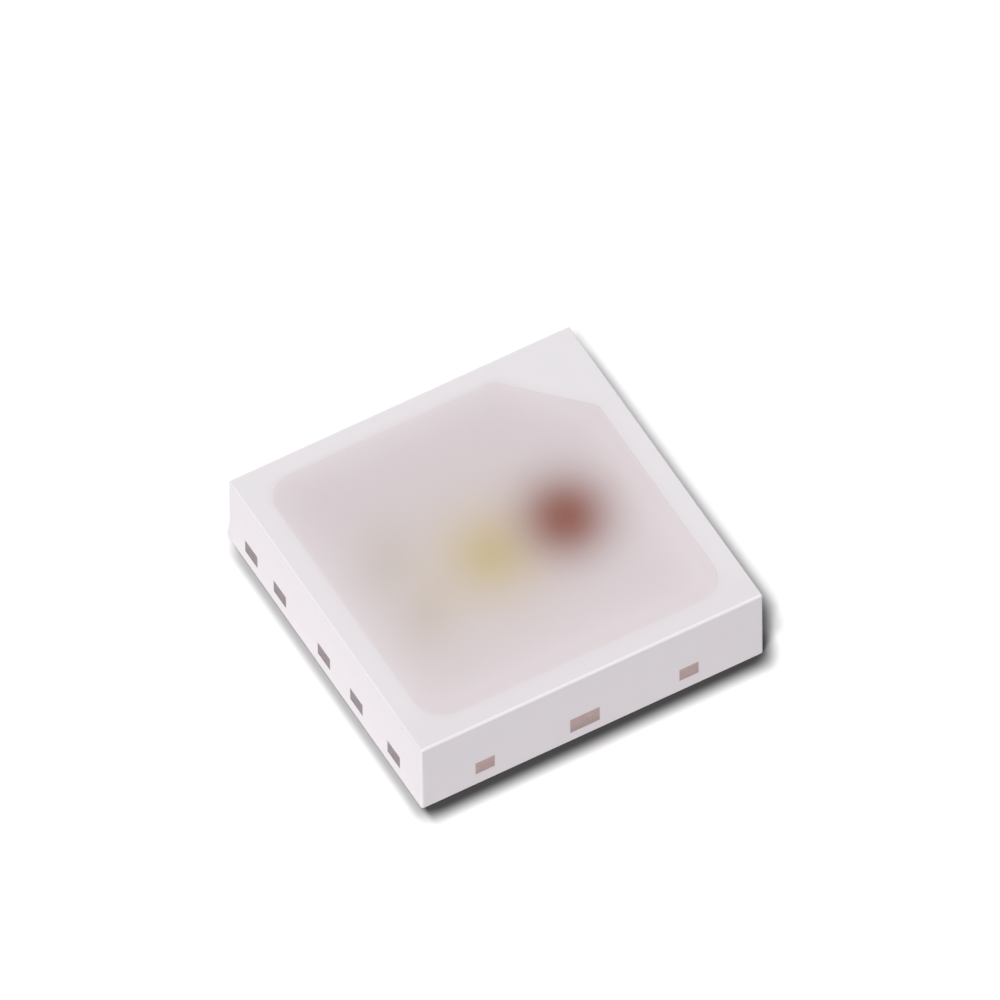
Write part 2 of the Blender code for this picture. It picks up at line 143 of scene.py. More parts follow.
def cavity_ring(inset):
    """Points of the cavity's outline moved in by inset, in the same directions as the body's.

    The outline is a square whose corners are arcs and whose back right corner is cut off. It is
    drawn densely once, and its radius is then read off at each direction from the middle. Moving
    the cut in by the inset shortens its legs by (2 - root 2) times the inset.
    """
    half, leg = CAVITY_HALF - inset, MARK_LEG - inset * (2 - math.sqrt(2))
    corners = np.array([-half - half * 1j, half - half * 1j, half + (half - leg) * 1j,
                        half - leg + half * 1j, -half + half * 1j])
    radii = np.array([CAVITY_CORNER, CAVITY_CORNER, MARK_CORNER, MARK_CORNER, CAVITY_CORNER]) - inset
    into = corners - np.roll(corners, 1)
    onward = np.roll(into, -1)
    outline = []
    for corner, before, after, radius in zip(corners, into, onward, radii):
        heading, bend = np.angle(before), np.angle(after / before)
        start = corner - radius * math.tan(bend / 2) * before / abs(before)
        centre = start + 1j * radius * before / abs(before)
        turn = np.linspace(heading, heading + bend, CORNER_POINTS) - math.pi / 2
        outline.append(centre + radius * np.exp(1j * turn))
    outline = np.concatenate(outline)
    closed = np.concatenate([outline, outline[:1]])
    fine = np.linspace(0, len(outline), OUTLINE_POINTS, endpoint=False)
    index = fine.astype(int)
    dense = closed[index] + (closed[index + 1] - closed[index]) * (fine - index)
    order = np.argsort(np.angle(dense))
    radius = np.interp(DIRECTIONS, np.angle(dense)[order], abs(dense)[order], period=2 * math.pi)
    return radius * np.exp(1j * DIRECTIONS)


def layer(ring, height):
    """A ring of complex points as (x, y, z) rows, at one height or at one height per point."""
    return np.stack([ring.real, ring.imag, np.broadcast_to(height, ring.shape)], axis=1)


def closed_surface(name, rings, bottom, top):
    """A closed mesh over rings of equally many points, from the bottom pole out, up and in.

    Quads join each ring to the next, and a fan of triangles joins the first and last ring to
    the poles. Rings run counter-clockwise seen from above, so the faces point outwards.
    """
    rows, columns = len(rings), len(rings[0])
    points = np.concatenate([np.concatenate(rings), [bottom, top]])
    row, column = np.meshgrid(np.arange(rows - 1), np.arange(columns), indexing="ij")
    after = (column + 1) % columns
    quads = np.stack([row * columns + column, row * columns + after,
                      (row + 1) * columns + after, (row + 1) * columns + column], axis=-1)
    here, beside = np.arange(columns), (np.arange(columns) + 1) % columns
    last = (rows - 1) * columns
    floor_fan = np.stack([np.full(columns, rows * columns), beside, here], axis=1)
    roof_fan = np.stack([np.full(columns, rows * columns + 1), last + here, last + beside], axis=1)
    faces = quads.reshape(-1, 4).tolist() + floor_fan.tolist() + roof_fan.tolist()
    mesh = bpy.data.meshes.new(name)
    mesh.from_pydata(points.tolist(), [], faces)
    mesh.shade_smooth()
    piece = bpy.data.objects.new(name, mesh)
    bpy.context.scene.collection.objects.link(piece)
    return piece


def point_values(piece, name, values):
    """Keeps one number per vertex as an attribute that a material can read."""
    attribute = piece.data.attributes.new(name, "FLOAT", "POINT")
    attribute.data.foreach_set("value", np.asarray(values, np.float32))


def quarter_turn(steps):
    """Sines and cosines of evenly spaced angles from 0 to a right angle."""
    angles = np.linspace(0, math.pi / 2, steps + 1)
    return zip(np.sin(angles), np.cos(angles))


def body_rings():
    """The moulded body's rings, each with its place: underside, side, edge, rim or cavity.

    The profile goes out along the underside, round its edge, up the side face, round the top
    edge, in along the rim, round the lip, down the drafted cavity wall and in along its floor.
    """
    rings = []
    face = HALF - SKIN

    def outer(place, inset, height):
        radius = max(UPRIGHT_ROUNDING - inset, LEAST_ROUNDING)
        rings.append((place, layer(square_ring(face - inset, radius), height)))

    for inset in (*UNDERSIDE_INSETS, BOTTOM_ROUNDING + SUPPORT):
        outer("underside", inset, SKIN)
    for sine, cosine in quarter_turn(EDGE_STEPS):
        outer("underside", BOTTOM_ROUNDING * (1 - sine), SKIN + BOTTOM_ROUNDING * (1 - cosine))
    low, high = SKIN + BOTTOM_ROUNDING + SUPPORT, TOP - TOP_ROUNDING - SUPPORT
    for height in np.linspace(low, high, WALL_STEPS):
        outer("side", 0.0, height)
    for sine, cosine in quarter_turn(EDGE_STEPS):
        outer("edge", TOP_ROUNDING * (1 - cosine), TOP - TOP_ROUNDING * (1 - sine))

    rim_out = square_ring(face - TOP_ROUNDING - SUPPORT, LEAST_ROUNDING)
    rim_in = cavity_ring(-LIP_ROUNDING - SUPPORT)
    for share in 1 - np.linspace(1, 0, RIM_STEPS) ** RIM_CROWDING:
        rings.append(("rim", layer(rim_out + (rim_in - rim_out) * share, TOP)))
    for sine, cosine in quarter_turn(EDGE_STEPS):
        ring = cavity_ring(LIP_ROUNDING * (sine - 1))
        rings.append(("cavity", layer(ring, TOP - LIP_ROUNDING * (1 - cosine))))
    floor = FRAME_TOP - SUPPORT
    for height in np.linspace(TOP - LIP_ROUNDING - SUPPORT, floor, WALL_STEPS):
        inset = (TOP - LIP_ROUNDING - height) * math.tan(CAVITY_DRAFT)
        rings.append(("cavity", layer(cavity_ring(inset), height)))
    for share in CAVITY_FLOOR_SHARES:
        rings.append(("cavity", layer(cavity_ring(inset) * share, floor)))
    return rings, floor


def make_body(moulded, sawn):
    """The white moulded body: cavity and rim in one finish, sawn side faces in another.

    Two values at each vertex steer its finishes: the distance out from the cavity's lip in
    millimetres, and a painted edge light, up to 1 for a painted highlight along an outer edge, or
    down to -1 for painted shade on it.
    """
    rings, floor = body_rings()
    places = [place for place, _ in rings]
    surface = [ring for _, ring in rings]
    piece = closed_surface("moulded_body", surface, (0, 0, SKIN), (0, 0, floor))
    piece.data.materials.append(moulded)
    piece.data.materials.append(sawn)
    on_side = [low == "side" and high in ("side", "edge") for low, high in zip(places, places[1:])]
    slots = np.zeros(len(piece.data.polygons), np.int32)
    slots[: len(on_side) * len(DIRECTIONS)] = np.repeat(on_side, len(DIRECTIONS))
    piece.data.polygons.foreach_set("material_index", slots)

    lip = surface[places.index("cavity")]
    at_corner = np.tile(np.repeat([0.0, 1.0], (SIDE_STEPS, ARC_STEPS)), 4)
    whole = np.ones(len(DIRECTIONS))
    # painted light along the outer edges: painted highlight on the top and upright edges, painted
    # shade on the left top edge
    top_edge = np.where(lip[:, 0] < -abs(lip[:, 1]), LEFT_EDGE_LIGHT, 1.0)
    out, edge_light = [], []
    for place, ring in rings:
        away = np.linalg.norm(ring[:, :2] - lip[:, :2], axis=1) / MM
        out.append(away if place == "rim" else whole * (0.0 if place == "cavity" else FAR))
        edge_light.append(top_edge if place == "edge" else at_corner * (place == "side"))
    point_values(piece, "lip_distance", np.concatenate([*out, [FAR, 0.0]]))
    point_values(piece, "painted_edge_light", np.concatenate([*edge_light, [0.0, 0.0]]))
    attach(piece, "root")
    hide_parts("housing")


def fill_height(distance, x, y):
    """Height of the silicone's surface at a distance from its edge on the lip.

    It sinks as depth times (1 - e to the minus distance over fall), and slow sine waves across
    it keep its reflections from being perfectly even.
    """
    along_x, along_y, slanting = WAVE_LENGTHS
    wave = np.sin(x / along_x + WAVE_START) * np.sin(y / along_y) + np.sin((x - y) / slanting)
    away = 1 - np.exp(-distance / MENISCUS_FALL)
    lip = TOP - LIP_ROUNDING + math.sqrt(LIP_ROUNDING**2 - (LIP_ROUNDING - WETTING) ** 2)
    edge = lip + FILM
    return edge + (FILL_WAVE * wave - MENISCUS_DEPTH) * away


def make_fill(milky):
    """The silicone: the cavity's form below, a shallow meniscus above, in concentric rings.

    A surface ring is the outline times a share that falls from 1 to 0. Its distance from the rim,
    which is kept at each vertex, is 1 less that share, times the way from the middle to a side.
    """
    def wall_ring(height):
        return cavity_ring((TOP - height) * math.tan(CAVITY_DRAFT) + SUPPORT / 2)

    rings = [layer(wall_ring(FILL_BOTTOM) * share, FILL_BOTTOM) for share in FILL_FLOOR_SHARES]
    gaps = [np.zeros(len(DIRECTIONS)) for _ in rings]
    for height in np.linspace(FILL_BOTTOM, FILL_TOP - 2 * LIP_ROUNDING, WALL_STEPS):
        rings.append(layer(wall_ring(height), height))
        gaps.append(np.zeros(len(DIRECTIONS)))
    edge = cavity_ring(-WETTING)
    for share in 1 - np.linspace(0, 1, FILL_RINGS + 1)[:-1] ** FILL_CROWDING:
        ring = edge * share
        distance = (1 - share) * CAVITY_HALF
        rings.append(layer(ring, fill_height(distance, ring.real, ring.imag)))
        gaps.append(np.full(len(DIRECTIONS), distance))
    middle = fill_height(CAVITY_HALF, 0.0, 0.0)
    piece = closed_surface("milky_fill", rings, (0, 0, FILL_BOTTOM), (0, 0, middle))
    point_values(piece, "rim_distance", np.concatenate([*gaps, [0.0, CAVITY_HALF]]) / MM)
    piece.data.materials.append(milky)
    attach(piece, "root")
    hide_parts("encapsulant")


# Helpers of the materials
NOISE_RANGE = (0.3, 0.7)  # in which most of a noise's values lie
PIT_RADII = (0.16, 0.08)  # of a pit's outer edge and of its even inside, as shares of its cell


def new_material(name):
    """A node material with its tree and its Principled shader."""
    material = bpy.data.materials.new(name)
    material.use_nodes = True
    tree = material.node_tree
    return material, tree, tree.nodes["Principled BSDF"]


def feed(tree, socket, value):
    """Links a node's output to the socket, or sets the socket to a plain value."""
    if isinstance(value, bpy.types.NodeSocket):
        tree.links.new(value, socket)
    elif socket.type == "RGBA" and len(value) == 3:
        socket.default_value = (*value, 1.0)
    else:
        socket.default_value = value


def add(tree, kind, *values, output=0, named=None, **settings):
    """Adds a node, sets it up, feeds its inputs in order or by name, and returns an output."""
    node = tree.nodes.new("ShaderNode" + kind)
    for setting, value in settings.items():
        setattr(node, setting, value)
    for socket, value in zip(node.inputs, values):
        if value is not None:
            feed(tree, socket, value)
    for name, value in (named or {}).items():
        feed(tree, node.inputs[name], value)
    return node.outputs[output]


def maths(tree, operation, *values):
    """The result of one Math node."""
    return add(tree, "Math", *values, operation=operation)


def axes(tree, vector):
    """A vector's x, y and z."""
    node = tree.nodes.new("ShaderNodeSeparateXYZ")
    feed(tree, node.inputs[0], vector)
    return node.outputs


def multiplied(tree, vector, factors):
    """A place or colour with each part multiplied by its factor, or all by one."""
    return add(tree, "VectorMath", vector, factors, operation="MULTIPLY")


def blend(tree, share, first, second):
    """Colour that goes from the first to the second as share goes from 0 to 1."""
    node = tree.nodes.new("ShaderNodeMix")
    node.data_type = "RGBA"
    for index, value in ((0, share), (6, first), (7, second)):
        feed(tree, node.inputs[index], value)
    return node.outputs[2]


def between(tree, value, low, high, to_low=0.0, to_high=1.0):
    """A value taken from one range to another, held at the ends."""
    return add(tree, "MapRange", value, low, high, to_low, to_high)


def by_share(tree, share, first, second):
    """A number that goes from the first to the second as share goes from 0 to 1."""
    return between(tree, share, 0.0, 1.0, first, second)


def by_noise(tree, pattern, first, second):
    """A number that goes from the first to the second over most of a noise's range."""
    return between(tree, pattern, *NOISE_RANGE, first, second)


def falloff(tree, distance, width, power):
    """e to the minus (distance over width) to the power."""
    share = maths(tree, "POWER", maths(tree, "DIVIDE", distance, width), power)
    return maths(tree, "EXPONENT", maths(tree, "MULTIPLY", share, -1.0))


def millimetre_places(tree):
    """Object coordinates in millimetres."""
    place = add(tree, "TexCoord", output=3)
    return multiplied(tree, place, (1 / MM,) * 3)


def kept_value(tree, name):
    """A number that point_values kept at the mesh's vertices."""
    return add(tree, "Attribute", output=2, attribute_name=name)


def noise(tree, place, size, detail=2.0, roughness=0.5):
    """Cloudy noise whose blotches are about size millimetres across."""
    named = {"Vector": place, "Scale": 1 / size, "Detail": detail, "Roughness": roughness}
    return add(tree, "TexNoise", named=named)


def streaks_along(tree, place, size, squeeze, roughness):
    """Noise drawn out level along the side faces: x plus y is squeezed, and the height is kept."""
    x, y, z = axes(tree, place)
    along = maths(tree, "MULTIPLY", maths(tree, "ADD", x, y), squeeze)
    squeezed = add(tree, "CombineXYZ", along, z, 0.0)
    return noise(tree, squeezed, size, detail=3.0, roughness=roughness)


def pits(tree, place, size, threshold):
    """1 inside sparse round pits.

    They lie at the points of a Voronoi pattern whose random value is past the threshold.
    """
    named = {"Vector": place, "Scale": 1 / size}
    near = add(tree, "TexVoronoi", named=named)
    chance, _, _ = axes(tree, add(tree, "TexVoronoi", named=named, output=1))
    chosen = maths(tree, "GREATER_THAN", chance, threshold)
    return maths(tree, "MULTIPLY", between(tree, near, *PIT_RADII), chosen)


def tinted(tree, colour, share, first, second):
    """A colour multiplied by a tint between two that lie close to white."""
    return multiplied(tree, colour, blend(tree, share, first, second))


def bumped(tree, height, depth):
    """A normal for relief of the given depth in millimetres."""
    named = {"Height": height, "Distance": depth * MM, "Strength": 1.0}
    return add(tree, "Bump", named=named)


def set_shader(tree, shader, **values):
    """Feeds the Principled shader's sockets, named with underscores for spaces."""
    for name, value in values.items():
        feed(tree, shader.inputs[name.replace("_", " ")], value)


# White resin
RESIN = srgb(233, 229, 232)
RESIN_SAWN = srgb(241, 235, 239)
RESIN_EDGE_HIGHLIGHT = srgb(243, 239, 243)  # painted highlight along its outer edges
# painted shade inside the pits, on the moulded and the sawn faces
RESIN_PIT_SHADE = srgb(150, 140, 142)
SAWN_PIT_SHADE = srgb(150, 138, 140)
EDGE_SHADE_KEEPS = 0.93  # share of its brightness that an edge wholly in painted shade keeps
FILM_WIDTH, FILM_POWER = 0.048, 1.3  # falloff of the film of silicone beside the cavity, in mm
FILM_SHARE, FILM_SHARE_BEHIND = 0.4, 0.75  # how much it tints, elsewhere and at the back
BEHIND_FROM, BEHIND_PAST = 1.2, 1.5  # y, in mm
FRONT_FROM, FRONT_PAST = -1.2, -1.6
FRONT_TINT = (0.976, 0.966, 0.976)
RESIN_GLOW = {  # light that scatters under its skin
    "Subsurface_Weight": 0.25,
    "Subsurface_Radius": (1.0, 0.85, 0.80),
    "Subsurface_Scale": 0.005 * MM,
}


def moulded_resin():
    """Moulded white epoxy: matte, faintly clouded, fine grain from the mould, a few small pits.

    Beside the cavity a film of silicone tints it, most of all at the back. The rim in front is a
    trace deeper. Outer edges get a painted highlight, and the left top edge painted shade.
    """
    material, tree, shader = new_material("moulded_resin")
    place = millimetre_places(tree)
    _, y, _ = axes(tree, place)
    off_lip = kept_value(tree, "lip_distance")
    edge_light = kept_value(tree, "painted_edge_light")
    clouds = noise(tree, place, size=0.42)
    grain = noise(tree, place, size=0.016, detail=3.0, roughness=0.6)
    pit = maths(tree, "MULTIPLY", pits(tree, place, size=0.14, threshold=0.95),
                between(tree, off_lip, 0.02, 0.06))

    behind = between(tree, y, BEHIND_FROM, BEHIND_PAST)
    film = maths(tree, "MULTIPLY", falloff(tree, off_lip, FILM_WIDTH, FILM_POWER),
                 by_share(tree, behind, FILM_SHARE, FILM_SHARE_BEHIND))
    in_front = between(tree, y, FRONT_FROM, FRONT_PAST)
    colour = blend(tree, film, RESIN, FILL_EDGE)
    colour = tinted(tree, colour, in_front, (1.0, 1.0, 1.0), FRONT_TINT)
    # painted highlight along the outer edges, painted shade on the left top edge
    colour = blend(tree, edge_light, colour, RESIN_EDGE_HIGHLIGHT)
    colour = multiplied(tree, colour, between(tree, edge_light, -1.0, 0.0, EDGE_SHADE_KEEPS, 1.0))
    colour = tinted(tree, colour, clouds, (1.012, 0.988, 1.004), (0.986, 1.010, 0.996))
    # painted shade inside the pits
    colour = blend(tree, maths(tree, "MULTIPLY", pit, 0.08), colour, RESIN_PIT_SHADE)
    relief = maths(tree, "SUBTRACT", grain, maths(tree, "MULTIPLY", pit, 1.5))
    set_shader(tree, shader, Base_Color=colour, Normal=bumped(tree, relief, depth=0.0010),
               Roughness=by_share(tree, edge_light, 0.55, 0.38), Specular_IOR_Level=0.42,
               **RESIN_GLOW)
    return material


def sawn_resin():
    """The same epoxy where the blade cut it: level streaks along the face and opened filler pits."""
    material, tree, shader = new_material("sawn_resin")
    place = millimetre_places(tree)
    edge_light = kept_value(tree, "painted_edge_light")
    streaks = streaks_along(tree, place, size=0.016, squeeze=0.06, roughness=0.55)
    clouds = noise(tree, place, size=0.35)
    grain = noise(tree, place, size=0.012, detail=3.0, roughness=0.6)
    pit = pits(tree, place, size=0.12, threshold=0.90)

    # painted highlight along the outer edges
    colour = blend(tree, edge_light, RESIN_SAWN, RESIN_EDGE_HIGHLIGHT)
    colour = tinted(tree, colour, clouds, (1.014, 0.986, 1.010), (0.988, 1.010, 0.994))
    colour = tinted(tree, colour, streaks, (0.985, 0.983, 0.985), (1.012, 1.012, 1.012))
    # painted shade inside the pits
    colour = blend(tree, maths(tree, "MULTIPLY", pit, 0.06), colour, SAWN_PIT_SHADE)
    relief = maths(tree, "ADD", maths(tree, "MULTIPLY", streaks, 1.2), grain)
    relief = maths(tree, "SUBTRACT", relief, maths(tree, "MULTIPLY", pit, 1.2))
    set_shader(tree, shader, Base_Color=colour, Normal=bumped(tree, relief, depth=0.0011),
               Roughness=by_noise(tree, streaks, 0.58, 0.70), Specular_IOR_Level=0.35,
               **RESIN_GLOW)
    return material


# Milky silicone, with places and widths in millimetres
FILL_DEEP = srgb(217, 207, 210)
FILL_EDGE = srgb(227, 218, 221)
EDGE_WIDTH, EDGE_POWER = 0.26, 1.42  # falloff of the paler edge
ASIDE_FROM, ASIDE_PAST = 1.0, 1.5  # way to the right or to the front over which the edge deepens
MOST_PALE, MOST_PALE_ASIDE = 1.0, 0.55
LEAN = (0.003, -0.022, 0.0)  # gain in brightness for each millimetre along each axis
WET_WIDTH, WET_POWER, WET_SHARE = 0.03, 1.5, 0.2  # where it creeps onto the resin
SLANT = math.radians(61.22)  # direction, from +X, in which the deep-lying spots spread
SPOTS = {  # colour, place as it shows through the fill, width, power and spread of its falloff
    "blue": (srgb(208, 198, 194), (-0.93, 0.26), 0.30, 2.1, 1.50),
    "green": (srgb(209, 198, 192), (-0.90, -0.39), 0.29, 1.8, 1.64),
    "white": (srgb(204, 187, 150), (-0.12, -0.12), 0.447, 1.76, 1.17),
    "red": (srgb(146, 97, 86), (0.667, -0.095), 0.422, 2.23, 1.16),
}


def spot_distance(tree, level, middle, spread):
    """Distance from a spot's middle, counted shorter by the spread along the slant."""
    offset = add(tree, "VectorMath", level, (*middle, 0.0), operation="SUBTRACT")
    turned = add(tree, "VectorRotate", offset, None, None, SLANT, invert=True)
    narrowed = multiplied(tree, turned, (1 / spread, 1.0, 0.0))
    return add(tree, "VectorMath", narrowed, operation="LENGTH", output=1)


def milky_silicone():
    """Diffusing silicone: paler where it thins at the rim, with the chips as soft spots.

    Towards the right and the front, where less light comes back from the cavity's wall, the
    edge stays closer to the deep colour.
    """
    material, tree, shader = new_material("milky_silicone")
    place = millimetre_places(tree)
    level = multiplied(tree, place, (1.0, 1.0, 0.0))
    x, y, _ = axes(tree, place)
    gap = kept_value(tree, "rim_distance")
    clouds = noise(tree, level, size=0.40)
    grain = noise(tree, place, size=0.03)

    aside = maths(tree, "MAXIMUM", x, maths(tree, "MULTIPLY", y, -1.0))
    most = between(tree, aside, ASIDE_FROM, ASIDE_PAST, MOST_PALE, MOST_PALE_ASIDE)
    pale = maths(tree, "MINIMUM", falloff(tree, gap, EDGE_WIDTH, EDGE_POWER), most)
    colour = blend(tree, pale, FILL_DEEP, FILL_EDGE)
    lean = add(tree, "VectorMath", level, LEAN, operation="DOT_PRODUCT", output=1)
    colour = multiplied(tree, colour, maths(tree, "ADD", lean, 1.0))
    for tone, middle, width, power, spread in SPOTS.values():
        distance = spot_distance(tree, level, middle, spread)
        colour = blend(tree, falloff(tree, distance, width, power), colour, tone)
    colour = tinted(tree, colour, clouds, (1.010, 0.993, 1.000), (0.992, 1.007, 1.000))
    wet = maths(tree, "MULTIPLY", falloff(tree, gap, WET_WIDTH, WET_POWER), WET_SHARE)
    colour = blend(tree, wet, colour, RESIN)
    set_shader(tree, shader, Base_Color=colour, Normal=bumped(tree, grain, depth=0.0004),
               Roughness=by_noise(tree, clouds, 0.42, 0.50), IOR=1.42, Specular_IOR_Level=0.4,
               Subsurface_Weight=0.3, Subsurface_Radius=(1.0, 0.8, 0.7),
               Subsurface_Scale=0.006 * MM)
    return material


# Metals, chips, glue and phosphor
SAWN_PLANE = (HALF - SKIN / 2) / MM  # a place further out than this lies on a sawn end
COPPER = srgb(190, 165, 163)
COPPER_STREAK = srgb(206, 181, 178)
COPPER_SMEAR = srgb(180, 157, 158)
COPPER_TINT = (0.98, 0.985, 1.0)
COPPER_SHADE_SIDEWAYS = (0.49, 0.54, 0.58)  # painted shade on the ends in the left and right faces
SILVER = srgb(224, 221, 215)
SILVER_SMEAR = srgb(211, 206, 197)
GOLD_DARK = srgb(238, 196, 112)
GOLD_PALE = srgb(252, 220, 148)
PASTE_DARK = srgb(168, 166, 162)
PASTE_PALE = srgb(222, 220, 214)
PHOSPHOR_PALE = srgb(244, 226, 92)
PHOSPHOR_DEEP = srgb(226, 196, 60)
CONTACT_GOLD = srgb(240, 204, 130)
CHIPS = {  # body colour, and the axis along which the contact's fingers run
    "chip_red": (srgb(84, 44, 38), "x"),
    "chip_white": (srgb(176, 186, 190), "y"),
    "chip_blue": (srgb(170, 182, 196), "x"),
    "chip_green": (srgb(172, 190, 178), "x"),
}
PAD_RADIUS, FINGER_REACH, FINGER_HALF = 0.28, 0.8, 0.03  # as shares of half the chip's width
CONTACT_DEPTH = 0.004  # under the chip's top, in millimetres


def sawn_copper_frame():
    """Lead frame: silver plating with rolling lines, and bare copper with saw streaks where cut."""
    material, tree, shader = new_material("plated_frame")
    place = millimetre_places(tree)
    x, y, _ = axes(tree, add(tree, "VectorMath", place, operation="ABSOLUTE"))
    cut = maths(tree, "GREATER_THAN", maths(tree, "MAXIMUM", x, y), SAWN_PLANE)
    sideways = maths(tree, "GREATER_THAN", x, SAWN_PLANE)
    streaks = streaks_along(tree, place, size=0.010, squeeze=0.08, roughness=0.6)
    smear = noise(tree, place, size=0.06, detail=3.0, roughness=0.6)
    grain = noise(tree, place, size=0.006, detail=3.0, roughness=0.6)
    rolled = noise(tree, multiplied(tree, place, (1.0, 0.05, 1.0)), size=0.020, detail=3.0,
                   roughness=0.6)

    copper = blend(tree, between(tree, streaks, 0.35, 0.65), COPPER, COPPER_STREAK)
    copper = blend(tree, between(tree, smear, 0.45, 0.75, 0.0, 0.5), copper, COPPER_SMEAR)
    # painted shade on the ends in the left and right faces
    copper = tinted(tree, copper, sideways, COPPER_TINT, COPPER_SHADE_SIDEWAYS)
    silver = blend(tree, between(tree, smear, 0.3, 0.8), SILVER, SILVER_SMEAR)
    silver = tinted(tree, silver, rolled, (0.965, 0.965, 0.965), (1.02, 1.02, 1.02))
    lines = add(tree, "Mix", cut, None, rolled, streaks)
    relief = maths(tree, "ADD", grain, maths(tree, "MULTIPLY", lines, 2.0))
    set_shader(tree, shader, Base_Color=blend(tree, cut, silver, copper),
               Metallic=by_share(tree, cut, 0.9, 0.35),
               Roughness=by_noise(tree, smear, 0.40, 0.56),
               Normal=bumped(tree, relief, depth=0.0008))
    return material


def silver_glue():
    """Cured silver paste: grey flakes in resin."""
    material, tree, shader = new_material("silver_paste")
    named = {"Vector": millimetre_places(tree), "Scale": 110.0}
    grey, _, _ = axes(tree, add(tree, "TexVoronoi", named=named, output=1))
    set_shader(tree, shader, Base_Color=blend(tree, grey, PASTE_DARK, PASTE_PALE), Metallic=0.75,
               Roughness=by_share(tree, grey, 0.35, 0.6),
               Normal=bumped(tree, grey, depth=0.0015))
    return material


def yellow_phosphor():
    """Phosphor powder set in silicone: grains of two yellows with a matte, bumpy skin."""
    material, tree, shader = new_material("yellow_phosphor")
    place = millimetre_places(tree)
    cells = add(tree, "TexVoronoi", named={"Vector": place, "Scale": 85.0})
    clouds = noise(tree, place, size=0.09, detail=3.0)
    colour = blend(tree, between(tree, cells, 0.0, 0.8), PHOSPHOR_PALE, PHOSPHOR_DEEP)
    colour = tinted(tree, colour, clouds, (1.0, 0.97, 0.92), (1.0, 1.02, 1.05))
    set_shader(tree, shader, Base_Color=colour, Roughness=by_noise(tree, clouds, 0.6, 0.75),
               Normal=bumped(tree, cells, depth=-0.003))
    return material


def drawn_gold():
    """Gold bond wire: warm, bright, with faint drawing lines."""
    material, tree, shader = new_material("drawn_gold")
    drawn_out = multiplied(tree, millimetre_places(tree), (0.15, 1.0, 1.0))
    lines = noise(tree, drawn_out, size=0.004)
    set_shader(tree, shader, Base_Color=blend(tree, lines, GOLD_DARK, GOLD_PALE), Metallic=1.0,
               Roughness=by_noise(tree, lines, 0.18, 0.28),
               Normal=bumped(tree, lines, depth=0.0002))
    return material


def chip_finish(node, body, fingers):
    """A chip: its body's colour, and a gold contact on its top face.

    Places are taken from the chip's own middle. The contact is a round pad with a thin bar
    through it, whose two halves are its fingers.
    """
    material, tree, shader = new_material(node + "_finish")
    low, high = (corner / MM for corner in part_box(node))
    middle, half = (low + high) / 2, (high.x - low.x) / 2
    place = millimetre_places(tree)
    own = add(tree, "VectorMath", place, tuple(middle), operation="SUBTRACT")
    x, y, z = axes(tree, own)
    along, across = (x, y) if fingers == "x" else (y, x)
    on_top = maths(tree, "GREATER_THAN", z, (high.z - low.z) / 2 - CONTACT_DEPTH)
    level = multiplied(tree, own, (1.0, 1.0, 0.0))
    reach = add(tree, "VectorMath", level, operation="LENGTH", output=1)
    pad = maths(tree, "LESS_THAN", reach, PAD_RADIUS * half)
    in_length = maths(tree, "LESS_THAN", maths(tree, "ABSOLUTE", along), FINGER_REACH * half)
    in_width = maths(tree, "LESS_THAN", maths(tree, "ABSOLUTE", across), FINGER_HALF * half)
    finger = maths(tree, "MULTIPLY", in_width, in_length)
    contact = maths(tree, "MULTIPLY", maths(tree, "MAXIMUM", pad, finger), on_top)
    clouds = noise(tree, place, size=0.05, detail=3.0)
    colour = tinted(tree, body, clouds, (0.92, 0.92, 0.92), (1.06, 1.06, 1.06))
    set_shader(tree, shader, Base_Color=blend(tree, contact, colour, CONTACT_GOLD),
               Metallic=maths(tree, "MULTIPLY", contact, 0.9),
               Roughness=by_noise(tree, clouds, 0.16, 0.30),
               Normal=bumped(tree, maths(tree, "ADD", contact, clouds), depth=0.0008))
    return material


def finish_nodes(names, material):
    """Gives carried-over CAD nodes a better finish."""
    for name in names:
        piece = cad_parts[name]
        piece.data.materials.clear()
        piece.data.materials.append(material)


def finish_cad_nodes():
    """A procedural finish for every CAD node that isn't replaced."""
    def starting(start):
        return [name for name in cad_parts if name.startswith(start)]

    finish_nodes([*starting("lead_"), "thermal_paddle"], sawn_copper_frame())
    finish_nodes(starting("wire_"), drawn_gold())
    finish_nodes(starting("die_attach_"), silver_glue())
    finish_nodes(["phosphor_layer"], yellow_phosphor())
    for node, (body, fingers) in CHIPS.items():
        finish_nodes([node], chip_finish(node, body, fingers))


# Floor and light
FLOOR_HALF = 0.12
FLOOR_DROP = 0.002 * MM
FLOOR_COLOUR = 0.80
FLOOR_SEEN = 1.12  # its colour to the camera, so that it shows white where it is fully lit
SHADE_EDGES = {  # contact shade: way out from +X in degrees, reach in mm and sharpness of each edge
    "left": (180, 1.842, 1.61),
    "front": (-89.7, 1.91, 1.0),
    "right_front": (-31.6, 2.492, 1.0),
    "right": (0.6, 2.085, 1.0),
    "back": (90, 2.21, 1.0),
    "back_left": (141.6, 2.44, 1.0),
    "front_left": (-135, 2.585, 1.0),
}
SHADE_CORNER = 0.147  # over which one edge turns into the next, in mm
SHADE_BLUR = 0.121  # to either side of an edge whose sharpness is 1, in mm
SHADE_NOTCH = (2.02, -1.56)  # where it draws back, because the key light's own shadow is deep there
NOTCH_DEPTH, NOTCH_WIDTH, NOTCH_POWER = 0.10, 0.15, 2.0
DARKEST = 0.054  # share of the floor's colour that the darkest shade keeps
DARKEST_SHADOWED = 0.22  # the same on the right and at the back, in the key light's own shadow
SHADOWED_FROM, SHADOWED_PAST = 1.75, 1.95  # way out over which the one turns into the other, in mm
DARKEST_LIT = 0.38  # the same on the left, where the lights and the pale face brighten the floor
LIT_FROM, LIT_PAST = 1.70, 1.76
ROOM = 0.26  # brightness of the even light from all around
SUNS = {  # direction to the light, strength over pi, angle across in degrees
    "key": ((-0.34, -0.25, 1.0), 0.71, 13.0),
    "fill": ((-0.93, 0.02, 0.34), 0.205, 40.0),
}


